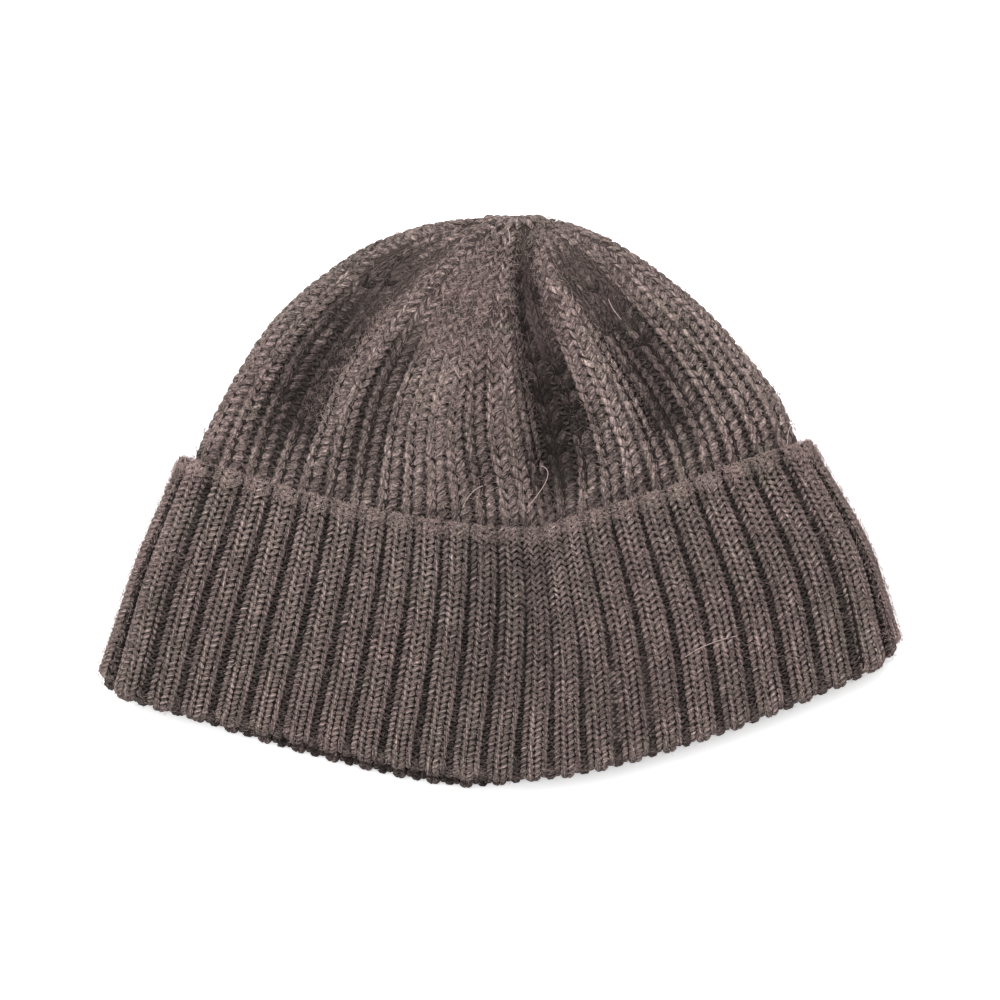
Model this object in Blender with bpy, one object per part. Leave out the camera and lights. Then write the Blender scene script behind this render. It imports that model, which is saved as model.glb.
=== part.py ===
"""A knitted watch cap that lies flat on its back: a ribbed crown and a deep turned-up cuff.

The cap is a knitted tube. Seen from above it is a fan: its courses, the rounds of stitches, are bowed
arcs, and its wales, the columns of stitches, run from the cuff's lower fold up to the tip. Each course
is a flattened ring, open inside, where the head goes in. Two functions hold that form:

    course_at(height)            the course at a height above the lower edge, by shares of the sizes
    fabric_point(height, share, out)   a point of the fabric, share of the way round, out from the hollow

The cuff is a band folded double round its lower edge, and the crown's wall ends in a seam on the band's
inner leaf. Lengths are metres, +X is to the right, +Y towards the tip and +Z up from the surface that the
cap lies on. The origin is the middle of its footprint.
"""

import math
from collections import namedtuple

import bmesh
import bpy
from mathutils import Matrix

# Sizes of the whole cap, lying flat.
CAP_HEIGHT = 0.179
CUFF_WIDTH = 0.2500
RIM_WIDTH = 0.1994
CUFF_DEPTH = 0.080
HOLLOW = 0.009
CROWN_PUFF = 0.016

# The knitted walls. A rib stands out from its groove by the groove's depth, on both faces alike.
CUFF_WALL = 0.0028
CUFF_GROOVE = 0.0014
CUFF_RIBS = 48
CROWN_WALL = 0.0030
CROWN_GROOVE = 0.0014
CROWN_RIBS = 52
CLEARANCE = 0.0003
LEAF_GAP = 0.0006

# The seam that joins crown and cuff hides this far below the cuff's rim.
SEAM_DROP = 0.015
# Past the rim the crown's back drops from the cuff onto the surface over this length.
BACK_DROP_RUN = 0.022
# The front leaf of the fold sits this much higher than the back one, left of the middle.
FRONT_RETRACT = 0.0038
RETRACT_PLACE = -0.36
RETRACT_BREADTH = 0.42
RETRACT_FADE = 0.030
# The fold's two corners are rounded off, and the rounding fades up the sides of the cuff.
LEFT_CORNER = 0.006
RIGHT_CORNER = 0.007
CORNER_FADE = 0.030
# The deep crease of the crown draws the cuff's wales together at the rim, by this share of its width.
WALE_DRIFT = 0.05
TIP_RISE = 0.0008

CUFF_STACK = 2 * (CUFF_WALL + CUFF_GROOVE) + LEAF_GAP
CROWN_FACE = CUFF_STACK - CUFF_WALL - CUFF_GROOVE - CLEARANCE
FOLD_RADIUS = CUFF_STACK / 2
CROWN_HEIGHT = CAP_HEIGHT - CUFF_DEPTH
SEAM_HEIGHT = CUFF_DEPTH - SEAM_DROP
FOLD_HALF_WIDTH = CUFF_WIDTH / 2 - CUFF_STACK
RIM_HALF_WIDTH = RIM_WIDTH / 2 - CUFF_STACK

# climb: share of the cuff's depth, or of the crown's height, from its lower end.
# width: in the cuff, from 0 at the rim's half width to 1 at the fold's. In the crown, share of the rim's.
# rise_left, rise_right: how far each end lies above the lowest point, as a share of the crown's height.
# bend_left, bend_right: power of the bow on each side, 1 for straight and 2 for a parabola.
# low: where the lowest point lies, from -1 at the left end to 1 at the right.
# shift: middle's offset to the right, share of the rim's half width.
# gap: share of the hollow. puff: how far the front stands up, share of the crown's puff.
Course = namedtuple("Course", "climb width rise_left rise_right bend_left bend_right low shift gap puff")
CUFF_COURSES = (
    Course(0.00, 1.008, 0.297, 0.392, 1.36, 1.60, -0.08, -0.001, 1.00, 0.16),
    Course(0.50, 0.640, 0.260, 0.334, 1.60, 1.38, 0.02, 0.005, 1.00, 0.20),
    Course(1.00, 0.000, 0.224, 0.275, 1.80, 1.20, 0.10, -0.016, 1.00, 0.28),
)
CROWN_COURSES = (
    Course(0.000, 1.000, 0.224, 0.275, 1.80, 1.20, 0.10, -0.016, 1.00, 0.28),
    Course(0.124, 0.932, 0.247, 0.307, 1.80, 1.50, 0.06, -0.014, 1.00, 0.60),
    Course(0.257, 0.824, 0.284, 0.308, 1.90, 1.80, 0.00, -0.018, 1.00, 0.88),
    Course(0.400, 0.688, 0.302, 0.310, 2.05, 2.05, 0.00, -0.025, 1.00, 1.00),
    Course(0.580, 0.479, 0.280, 0.280, 2.20, 2.20, 0.00, -0.024, 0.95, 0.92),
    Course(0.695, 0.336, 0.242, 0.242, 2.35, 2.35, 0.00, -0.016, 0.85, 0.74),
    Course(0.800, 0.213, 0.178, 0.178, 2.50, 2.50, 0.00, 0.000, 0.72, 0.50),
    Course(0.897, 0.112, 0.099, 0.099, 2.60, 2.60, 0.00, 0.026, 0.55, 0.26),
    Course(0.970, 0.042, 0.030, 0.030, 2.70, 2.70, 0.00, 0.048, 0.36, 0.08),
)

# Folds of the front. at: where the fold lies, from -1 at the left side to 1 at the right, at its lower and
# upper end. deep: depth as a share of the crown's puff, below 0 for a ridge. breadth: half its breadth, same
# scale as at. start, end: share of the crown's height, where a start below 0 runs on into the cuff.
Fold = namedtuple("Fold", "name at_start at_end deep breadth start end")
FOLDS = (
    Fold("left_side", at_start=-0.77, at_end=-0.80, deep=0.44, breadth=0.10, start=0.01, end=0.90),
    Fold("left_ridge", at_start=-0.62, at_end=-0.64, deep=-0.12, breadth=0.07, start=0.04, end=0.92),
    Fold("left_inner", at_start=-0.51, at_end=-0.49, deep=0.24, breadth=0.08, start=0.00, end=0.66),
    Fold("middle_ridge", at_start=-0.28, at_end=-0.18, deep=-0.10, breadth=0.10, start=0.00, end=0.66),
    Fold("middle", at_start=-0.10, at_end=-0.03, deep=0.14, breadth=0.09, start=0.02, end=0.64),
    Fold("deep_crease", at_start=0.22, at_end=0.33, deep=0.66, breadth=0.11, start=-0.03, end=1.04),
    Fold("right_ridge", at_start=0.48, at_end=0.58, deep=-0.14, breadth=0.08, start=0.02, end=0.80),
    Fold("right_side", at_start=0.63, at_end=0.80, deep=0.42, breadth=0.10, start=0.03, end=0.90),
    Fold("cuff_hollow", at_start=0.03, at_end=-0.02, deep=0.16, breadth=0.16, start=-0.60, end=0.10),
    Fold("cuff_low", at_start=0.34, at_end=0.30, deep=0.10, breadth=0.10, start=-0.80, end=-0.40),
)

# Rows of the crown, by their share of its height above the rim. merged: how many columns become one there,
# as the wales are decreased. relief: share of the groove's depth.
CrownRow = namedtuple("CrownRow", "climb merged relief")
CROWN_ROWS = (
    CrownRow(0.06, 1, 1.0),
    CrownRow(0.16, 1, 1.0),
    CrownRow(0.28, 1, 1.0),
    CrownRow(0.40, 1, 1.0),
    CrownRow(0.51, 1, 1.0),
    CrownRow(0.61, 1, 0.9),
    CrownRow(0.70, 2, 1.0),
    CrownRow(0.78, 2, 1.0),
    CrownRow(0.86, 2, 0.9),
    CrownRow(0.92, 4, 1.0),
    CrownRow(0.97, 4, 0.8),
)

# A cuff rib has two knit wales on top and two purl wales in the groove: four columns, by their place in the rib.
RibColumn = namedtuple("RibColumn", "phase drop")
CUFF_RIB = (RibColumn(-0.29, 0.0), RibColumn(0.29, 0.0), RibColumn(0.42, 1.0), RibColumn(0.58, 1.0))
CROWN_RIB = (RibColumn(0.0, 0.0), RibColumn(0.5, 1.0))

CUFF_LEAF_STEPS = (0.0, 0.33, 0.66, 1.0)
INNER_LEAF_STEPS = (1.0, 0.5, 0.0)
FOLD_STEPS = 4

WOOL = (0.125, 0.096, 0.088, 1.0)
WOOL_ROUGHNESS = 0.95


def smooth_step(value, low, high):
    """0 below low, 1 above high, and a smooth ramp between them."""
    t = min(max((value - low) / (high - low), 0.0), 1.0)
    return t * t * (3 - 2 * t)


def between(rows, climb):
    """The course at a climb, on a smooth curve through the rows of a table."""
    last = len(rows) - 1
    i = max(0, min(last - 1, sum(row.climb <= climb for row in rows) - 1))
    a, b = rows[i], rows[i + 1]
    before, after = rows[max(i - 1, 0)], rows[min(i + 2, last)]
    run = b.climb - a.climb
    t = (climb - a.climb) / run
    values = []
    for name in Course._fields:
        p, q = getattr(a, name), getattr(b, name)
        slope_a = (q - getattr(before, name)) / (b.climb - before.climb) * run
        slope_b = (getattr(after, name) - p) / (after.climb - a.climb) * run
        if t < 0 or t > 1:
            values.append(p + (q - p) * t)
            continue
        cubic = (2 * p - 2 * q + slope_a + slope_b) * t**3
        square = (-3 * p + 3 * q - 2 * slope_a - slope_b) * t**2
        values.append(cubic + square + slope_a * t + p)
    return Course(*values)


def course_at(height):
    """(course, half width of the hollow) at a height above the cuff's lower edge, measured up the middle."""
    if height < CUFF_DEPTH:
        course = between(CUFF_COURSES, (height - FOLD_RADIUS) / (CUFF_DEPTH - FOLD_RADIUS))
        return course, RIM_HALF_WIDTH + course.width * (FOLD_HALF_WIDTH - RIM_HALF_WIDTH)
    course = between(CROWN_COURSES, (height - CUFF_DEPTH) / CROWN_HEIGHT)
    return course, course.width * RIM_HALF_WIDTH


def flat_ring(share, straight, radius):
    """(middle_x, side, up) on a flattened ring, two straight runs joined by half circles: share 0 at its right
    side, 0.25 at the middle of its front and 0.75 at the middle of its back. The ring's point lies one radius
    from middle_x in the direction (side, up)."""
    quarter = math.pi * radius / 2
    along = share % 1.0 * 4 * (straight + quarter)
    if along < quarter:
        return straight, math.cos(along / radius), math.sin(along / radius)
    if along < quarter + 2 * straight:
        return straight - (along - quarter), 0.0, 1.0
    if along < 3 * quarter + 2 * straight:
        angle = (along - 2 * straight) / radius
        return -straight, math.cos(angle), math.sin(angle)
    if along < 3 * quarter + 4 * straight:
        return along - 3 * quarter - 3 * straight, 0.0, -1.0
    angle = (along - 4 * straight) / radius
    return straight, math.cos(angle), math.sin(angle)


def fold_depth(fold, climb, across):
    """How deep a fold is at a climb of the crown, across from -1 at the left side to 1 at the right."""
    if not fold.start < climb < fold.end:
        return 0.0
    t = (climb - fold.start) / (fold.end - fold.start)
    middle = fold.at_start + (fold.at_end - fold.at_start) * t
    fade = smooth_step(t, 0.0, 0.25) * (1 - smooth_step(t, 0.7, 1.0))
    return fold.deep * CROWN_PUFF * fade * math.exp(-(((across - middle) / fold.breadth) ** 2))


def bow(course, across):
    """How far a course has risen above its lowest point, across from -1 at the left end to 1 at the right."""
    if across < course.low:
        return course.rise_left * CROWN_HEIGHT * ((course.low - across) / (course.low + 1)) ** course.bend_left
    return course.rise_right * CROWN_HEIGHT * ((across - course.low) / (1 - course.low)) ** course.bend_right


def corner_lift(height, across):
    """How far the rounding of the fold's corners lifts the fabric."""
    radius = LEFT_CORNER if across < 0 else RIGHT_CORNER
    start = 1 - 2 * radius / CUFF_WIDTH
    t = min(max((abs(across) - start) / (1 - start), 0.0), 1.0)
    return radius * (1 - math.sqrt(1 - t * t)) * min(max(1 - height / CORNER_FADE, 0.0), 1.0)


def wale_drift(height, across):
    """How far the wales lean towards the deep crease at the rim, as a share of the half width."""
    climb = (height - CUFF_DEPTH) / CROWN_HEIGHT
    along = smooth_step(height, 0.0, CUFF_DEPTH) * (1 - smooth_step(climb, 0.0, 0.35))
    return WALE_DRIFT * (1 - across**2) * along * (1 - 1.6 * smooth_step(across, -0.05, 0.35))


def fabric_point(height, share, out):
    """A point of the fabric: height above the lower edge, share of the way round from the right side over the
    front, and out from the hollow's face. The front may puff up and fold, and the back lies flat."""
    course, half_hollow = course_at(height)
    climb = (height - CUFF_DEPTH) / CROWN_HEIGHT
    half_gap = course.gap * HOLLOW / 2
    straight = max(half_hollow - half_gap, 0.0)
    middle_x, side, up = flat_ring(share, straight, half_gap + FOLD_RADIUS)
    half_width = straight + half_gap + FOLD_RADIUS
    across = (middle_x + side * (half_gap + FOLD_RADIUS)) / half_width
    front = max(up, 0.0)
    past_rim = smooth_step(height, CUFF_DEPTH, CUFF_DEPTH + BACK_DROP_RUN)
    middle_z = half_gap + CUFF_STACK + (CROWN_FACE - CUFF_STACK) * past_rim
    puff = course.puff * CROWN_PUFF * max(1 - across**2, 0.0) ** 1.5
    folds = sum(fold_depth(fold, climb, across) for fold in FOLDS)
    near_fold = (1 - smooth_step(height, 0.0, RETRACT_FADE)) * front
    retract = FRONT_RETRACT * near_fold * math.exp(-(((across - RETRACT_PLACE) / RETRACT_BREADTH) ** 4))
    x = middle_x + side * (half_gap + out)
    x += course.shift * RIM_HALF_WIDTH + wale_drift(height, across) * half_width
    y = height + bow(course, across) + corner_lift(height, across) + retract - CAP_HEIGHT / 2
    return x, y, middle_z + up * (half_gap + out) + front * (puff - folds)


def rib_shares(ribs, columns):
    """(share round the cap, drop of the groove) for each column of each rib."""
    return [((rib + column.phase) / ribs, column.drop) for rib in range(ribs) for column in columns]


def ring_of(heights_and_outs, shares):
    """The points of one ring: a height and an out for each column's share round the cap."""
    return [fabric_point(height, share, out) for (height, out), share in zip(heights_and_outs, shares)]


def bridge(mesh, lower, upper):
    """Faces between two rings of vertices. The upper ring may have half as many, where columns merge."""
    count = len(upper)
    if len(lower) == count:
        for i in range(count):
            j = (i + 1) % count
            mesh.faces.new((lower[i], lower[j], upper[j], upper[i]))
        return
    for i in range(count):
        j, two = (i + 1) % count, 2 * i
        mesh.faces.new((lower[two], lower[two + 1], upper[i]))
        mesh.faces.new((lower[two + 1], lower[(two + 2) % len(lower)], upper[j], upper[i]))


def finish_object(name, mesh, material, collection):
    """Makes the bmesh an object of its own, with its normals out and a knitted material."""
    bmesh.ops.recalc_face_normals(mesh, faces=mesh.faces)
    data = bpy.data.meshes.new(name)
    mesh.to_mesh(data)
    mesh.free()
    data.materials.append(material)
    data.shade_smooth()
    obj = bpy.data.objects.new(name, data)
    collection.objects.link(obj)
    return obj


def cuff_section(drop):
    """The folded band's closed section for a column, as (height, out) pairs: its visible face from the seam
    down the inner leaf, round the fold and up the outer leaf to the rim, then back between the leaves."""
    sink = drop * CUFF_GROOVE
    inner = [(FOLD_RADIUS + (SEAM_HEIGHT - FOLD_RADIUS) * step, sink) for step in INNER_LEAF_STEPS]
    outer = [(FOLD_RADIUS + (CUFF_DEPTH - FOLD_RADIUS) * step, CUFF_STACK - sink) for step in CUFF_LEAF_STEPS]
    turn = []
    for step in range(1, FOLD_STEPS):
        angle = math.pi * step / FOLD_STEPS
        radius = FOLD_RADIUS - sink
        turn.append((FOLD_RADIUS - radius * math.sin(angle), FOLD_RADIUS - radius * math.cos(angle)))
    face = inner + turn + outer
    behind_outer = [(height, out - CUFF_WALL) for height, out in reversed(outer)]
    behind_turn = [(sink + CUFF_WALL, FOLD_RADIUS)]
    behind_inner = [(height, out + CUFF_WALL) for height, out in reversed(inner)]
    return face + behind_outer + behind_turn + behind_inner


def make_cuff(material, collection):
    """The turned-up cuff: a 2 by 2 ribbed band folded double, open as a ring."""
    columns = rib_shares(CUFF_RIBS, CUFF_RIB)
    sections = [cuff_section(drop) for share, drop in columns]
    shares = [share for share, drop in columns]
    mesh = bmesh.new()
    rings = []
    for row in zip(*sections):
        rings.append([mesh.verts.new(point) for point in ring_of(row, shares)])
    for ring, following in zip(rings, rings[1:] + rings[:1]):
        bridge(mesh, ring, following)
    return finish_object("cuff", mesh, material, collection)


def crown_skin(mesh, inward):
    """One face of the crown's wall, as rings of vertices from the seam to the tip, closed there by a vertex."""
    seam = CrownRow((SEAM_HEIGHT + CLEARANCE - CUFF_DEPTH) / CROWN_HEIGHT, 1, 1.0)
    rim = CrownRow(0.0, 1, 1.0)
    rings = []
    for row in (seam, rim) + CROWN_ROWS:
        height = CUFF_DEPTH + row.climb * CROWN_HEIGHT
        shares = [share for share, drop in rib_shares(CROWN_RIBS, CROWN_RIB)][:: row.merged]
        sinks = [i % 2 * row.relief * CROWN_GROOVE for i in range(len(shares))]
        ring = ring_of([(height, CROWN_FACE - inward - sink) for sink in sinks], shares)
        rings.append([mesh.verts.new(point) for point in ring])
    for lower, upper in zip(rings, rings[1:]):
        bridge(mesh, lower, upper)
    top = rings[-1]
    x, y, z = (sum(vert.co[axis] for vert in top) / len(top) for axis in range(3))
    tip = mesh.verts.new((x, max(vert.co[1] for vert in top) + TIP_RISE - inward, z))
    for i, vert in enumerate(top):
        mesh.faces.new((vert, top[(i + 1) % len(top)], tip))
    return rings[0]


def make_crown(material, collection):
    """The crown: a knitted dome of single ribs, open at the seam."""
    mesh = bmesh.new()
    outside = crown_skin(mesh, 0.0)
    inside = crown_skin(mesh, CROWN_WALL)
    bridge(mesh, outside, inside)
    return finish_object("crown", mesh, material, collection)


def centre_footprint(objects):
    """Moves the meshes so that the middle of the cap's footprint is the origin and its lowest point is at 0."""
    points = [vert.co for obj in objects for vert in obj.data.vertices]
    low = [min(point[axis] for point in points) for axis in range(3)]
    high = [max(point[axis] for point in points) for axis in range(3)]
    move = Matrix.Translation((-(low[0] + high[0]) / 2, -(low[1] + high[1]) / 2, -low[2]))
    for obj in objects:
        obj.data.transform(move)


def wool_material(name):
    """Matt taupe wool."""
    material = bpy.data.materials.new(name)
    material.use_nodes = True
    shader = material.node_tree.nodes["Principled BSDF"]
    shader.inputs["Base Color"].default_value = WOOL
    shader.inputs["Roughness"].default_value = WOOL_ROUGHNESS
    shader.inputs["Metallic"].default_value = 0.0
    return material


def main():
    for obj in list(bpy.data.objects):
        bpy.data.objects.remove(obj, do_unlink=True)
    collection = bpy.data.collections.new("watch_cap")
    bpy.context.scene.collection.children.link(collection)
    crown = make_crown(wool_material("crown_wool"), collection)
    cuff = make_cuff(wool_material("cuff_wool"), collection)
    centre_footprint((crown, cuff))


main()
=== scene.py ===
# %% [markdown]
# # A knitted watch cap, stitch by stitch
# The cap is a knitted tube that lies flat: a crown in chunky single rib, and a deep cuff in finer 2 by 2 rib.
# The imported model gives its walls, folds and ribs as plain solids. This lesson knits over them: it lays a row
# of V-shaped stitches along each wale, puts purl bars in the grooves, and grows a haze of loose fibres. A
# bump map on the solids would be quicker, but a knit is thick, so light and shade fall between its stitches.

# %% Load the model
import math
import random
from collections import namedtuple

import bpy
import numpy as np
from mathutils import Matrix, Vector


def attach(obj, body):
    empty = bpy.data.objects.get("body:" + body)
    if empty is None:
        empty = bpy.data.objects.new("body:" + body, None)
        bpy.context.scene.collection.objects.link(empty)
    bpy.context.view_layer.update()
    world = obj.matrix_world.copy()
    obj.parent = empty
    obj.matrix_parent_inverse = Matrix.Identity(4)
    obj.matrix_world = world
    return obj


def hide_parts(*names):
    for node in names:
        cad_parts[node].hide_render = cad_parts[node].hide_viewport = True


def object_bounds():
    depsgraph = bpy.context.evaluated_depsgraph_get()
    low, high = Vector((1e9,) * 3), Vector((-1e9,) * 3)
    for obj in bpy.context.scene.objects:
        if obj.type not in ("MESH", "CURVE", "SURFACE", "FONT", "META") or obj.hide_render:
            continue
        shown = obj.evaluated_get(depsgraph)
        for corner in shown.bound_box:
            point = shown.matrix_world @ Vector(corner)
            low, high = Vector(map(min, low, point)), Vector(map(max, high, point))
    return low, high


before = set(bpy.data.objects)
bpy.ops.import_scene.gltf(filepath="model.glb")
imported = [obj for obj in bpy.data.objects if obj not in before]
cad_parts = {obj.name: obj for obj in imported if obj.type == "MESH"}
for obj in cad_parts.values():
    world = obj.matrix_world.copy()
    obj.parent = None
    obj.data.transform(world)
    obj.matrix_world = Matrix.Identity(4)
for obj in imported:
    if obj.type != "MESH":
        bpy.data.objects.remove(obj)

CAD_BOX = [list(corner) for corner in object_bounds()]
print("model in millimetres:", [round((high - low) * 1000, 1) for low, high in zip(*CAD_BOX)])

# %% [markdown]
# ## The form of the knitting
# Each round of stitches, a course, is a flattened ring. Seen from above the courses are bowed arcs, and the
# wales, the columns of stitches, run from the cuff's fold up to the tip. The tables are those that the solids
# were made from, so a stitch that they place lies on the solid's face. They hold shares of the sizes below.

# %% Sizes of the cap
CAP_HEIGHT = 0.179
CUFF_WIDTH = 0.2500
RIM_WIDTH = 0.1994
CUFF_DEPTH = 0.080
HOLLOW = 0.009
CROWN_PUFF = 0.016
CUFF_WALL = 0.0028
CUFF_GROOVE = 0.0014
CUFF_RIBS = 48
CROWN_WALL = 0.0030
CROWN_GROOVE = 0.0014
CROWN_RIBS = 52
CLEARANCE = 0.0003
LEAF_GAP = 0.0006
SEAM_DROP = 0.015
BACK_DROP_RUN = 0.022
FRONT_RETRACT = 0.0038
RETRACT_PLACE = -0.36
RETRACT_BREADTH = 0.42
RETRACT_FADE = 0.030
LEFT_CORNER = 0.006
RIGHT_CORNER = 0.007
CORNER_FADE = 0.030
WALE_DRIFT = 0.05

CUFF_STACK = 2 * (CUFF_WALL + CUFF_GROOVE) + LEAF_GAP
CROWN_FACE = CUFF_STACK - CUFF_WALL - CUFF_GROOVE - CLEARANCE
FOLD_RADIUS = CUFF_STACK / 2
CROWN_HEIGHT = CAP_HEIGHT - CUFF_DEPTH
SEAM_HEIGHT = CUFF_DEPTH - SEAM_DROP
FOLD_HALF_WIDTH = CUFF_WIDTH / 2 - CUFF_STACK
RIM_HALF_WIDTH = RIM_WIDTH / 2 - CUFF_STACK

# %% Tables of the courses and the folds
Course = namedtuple("Course", "climb width rise_left rise_right bend_left bend_right low shift gap puff")
CUFF_COURSES = (
    Course(0.00, 1.008, 0.297, 0.392, 1.36, 1.60, -0.08, -0.001, 1.00, 0.16),
    Course(0.50, 0.640, 0.260, 0.334, 1.60, 1.38, 0.02, 0.005, 1.00, 0.20),
    Course(1.00, 0.000, 0.224, 0.275, 1.80, 1.20, 0.10, -0.016, 1.00, 0.28),
)
CROWN_COURSES = (
    Course(0.000, 1.000, 0.224, 0.275, 1.80, 1.20, 0.10, -0.016, 1.00, 0.28),
    Course(0.124, 0.932, 0.247, 0.307, 1.80, 1.50, 0.06, -0.014, 1.00, 0.60),
    Course(0.257, 0.824, 0.284, 0.308, 1.90, 1.80, 0.00, -0.018, 1.00, 0.88),
    Course(0.400, 0.688, 0.302, 0.310, 2.05, 2.05, 0.00, -0.025, 1.00, 1.00),
    Course(0.580, 0.479, 0.280, 0.280, 2.20, 2.20, 0.00, -0.024, 0.95, 0.92),
    Course(0.695, 0.336, 0.242, 0.242, 2.35, 2.35, 0.00, -0.016, 0.85, 0.74),
    Course(0.800, 0.213, 0.178, 0.178, 2.50, 2.50, 0.00, 0.000, 0.72, 0.50),
    Course(0.897, 0.112, 0.099, 0.099, 2.60, 2.60, 0.00, 0.026, 0.55, 0.26),
    Course(0.970, 0.042, 0.030, 0.030, 2.70, 2.70, 0.00, 0.048, 0.36, 0.08),
)
Fold = namedtuple("Fold", "name at_start at_end deep breadth start end")
FOLDS = (
    Fold("left_side", at_start=-0.77, at_end=-0.80, deep=0.44, breadth=0.10, start=0.01, end=0.90),
    Fold("left_ridge", at_start=-0.62, at_end=-0.64, deep=-0.12, breadth=0.07, start=0.04, end=0.92),
    Fold("left_inner", at_start=-0.51, at_end=-0.49, deep=0.24, breadth=0.08, start=0.00, end=0.66),
    Fold("middle_ridge", at_start=-0.28, at_end=-0.18, deep=-0.10, breadth=0.10, start=0.00, end=0.66),
    Fold("middle", at_start=-0.10, at_end=-0.03, deep=0.14, breadth=0.09, start=0.02, end=0.64),
    Fold("deep_crease", at_start=0.22, at_end=0.33, deep=0.66, breadth=0.11, start=-0.03, end=1.04),
    Fold("right_ridge", at_start=0.48, at_end=0.58, deep=-0.14, breadth=0.08, start=0.02, end=0.80),
    Fold("right_side", at_start=0.63, at_end=0.80, deep=0.42, breadth=0.10, start=0.03, end=0.90),
    Fold("cuff_hollow", at_start=0.03, at_end=-0.02, deep=0.16, breadth=0.16, start=-0.60, end=0.10),
    Fold("cuff_low", at_start=0.34, at_end=0.30, deep=0.10, breadth=0.10, start=-0.80, end=-0.40),
)
print("courses:", len(CUFF_COURSES) + len(CROWN_COURSES), "folds:", len(FOLDS))

# %% From a place in the knitting to a point in space


def smooth_step(value, low, high):
    """0 below low, 1 above high, and a smooth ramp between them."""
    t = min(max((value - low) / (high - low), 0.0), 1.0)
    return t * t * (3 - 2 * t)


def between(rows, climb):
    """The course at a climb, on a smooth curve through the rows of a table."""
    last = len(rows) - 1
    i = max(0, min(last - 1, sum(row.climb <= climb for row in rows) - 1))
    a, b = rows[i], rows[i + 1]
    before, after = rows[max(i - 1, 0)], rows[min(i + 2, last)]
    run = b.climb - a.climb
    t = (climb - a.climb) / run
    values = []
    for p, q, ahead, behind in zip(a, b, after, before):
        slope_a = (q - behind) / (b.climb - before.climb) * run
        slope_b = (ahead - p) / (after.climb - a.climb) * run
        if t < 0 or t > 1:
            values.append(p + (q - p) * t)
            continue
        cubic = (2 * p - 2 * q + slope_a + slope_b) * t**3
        square = (-3 * p + 3 * q - 2 * slope_a - slope_b) * t**2
        values.append(cubic + square + slope_a * t + p)
    return Course(*values)


def course_at(height):
    """(course, half width of the hollow) at a height above the cuff's lower edge."""
    if height < CUFF_DEPTH:
        course = between(CUFF_COURSES, (height - FOLD_RADIUS) / (CUFF_DEPTH - FOLD_RADIUS))
        return course, RIM_HALF_WIDTH + course.width * (FOLD_HALF_WIDTH - RIM_HALF_WIDTH)
    course = between(CROWN_COURSES, (height - CUFF_DEPTH) / CROWN_HEIGHT)
    return course, course.width * RIM_HALF_WIDTH


def flat_ring(share, straight, radius):
    """(middle_x, side, up) on a ring of two straight runs and two half circles, from its right side."""
    quarter = math.pi * radius / 2
    along = share % 1.0 * 4 * (straight + quarter)
    if along < quarter:
        return straight, math.cos(along / radius), math.sin(along / radius)
    if along < quarter + 2 * straight:
        return straight - (along - quarter), 0.0, 1.0
    if along < 3 * quarter + 2 * straight:
        angle = (along - 2 * straight) / radius
        return -straight, math.cos(angle), math.sin(angle)
    if along < 3 * quarter + 4 * straight:
        return along - 3 * quarter - 3 * straight, 0.0, -1.0
    angle = (along - 4 * straight) / radius
    return straight, math.cos(angle), math.sin(angle)


def fold_depth(fold, climb, across):
    """How deep a fold is at a climb of the crown, across from -1 at the left side to 1 at the right."""
    if not fold.start < climb < fold.end:
        return 0.0
    t = (climb - fold.start) / (fold.end - fold.start)
    middle = fold.at_start + (fold.at_end - fold.at_start) * t
    fade = smooth_step(t, 0.0, 0.25) * (1 - smooth_step(t, 0.7, 1.0))
    return fold.deep * CROWN_PUFF * fade * math.exp(-(((across - middle) / fold.breadth) ** 2))


def bow(course, across):
    """How far a course has risen above its lowest point."""
    if across < course.low:
        t = (course.low - across) / (course.low + 1)
        return course.rise_left * CROWN_HEIGHT * t**course.bend_left
    t = (across - course.low) / (1 - course.low)
    return course.rise_right * CROWN_HEIGHT * t**course.bend_right


def corner_lift(height, across):
    """How far the rounding of the fold's corners lifts the fabric."""
    radius = LEFT_CORNER if across < 0 else RIGHT_CORNER
    start = 1 - 2 * radius / CUFF_WIDTH
    t = min(max((abs(across) - start) / (1 - start), 0.0), 1.0)
    return radius * (1 - math.sqrt(1 - t * t)) * min(max(1 - height / CORNER_FADE, 0.0), 1.0)


def wale_drift(height, across):
    """How far the wales lean towards the deep crease at the rim, as a share of the half width."""
    climb = (height - CUFF_DEPTH) / CROWN_HEIGHT
    along = smooth_step(height, 0.0, CUFF_DEPTH) * (1 - smooth_step(climb, 0.0, 0.35))
    return WALE_DRIFT * (1 - across**2) * along * (1 - 1.6 * smooth_step(across, -0.05, 0.35))


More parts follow.
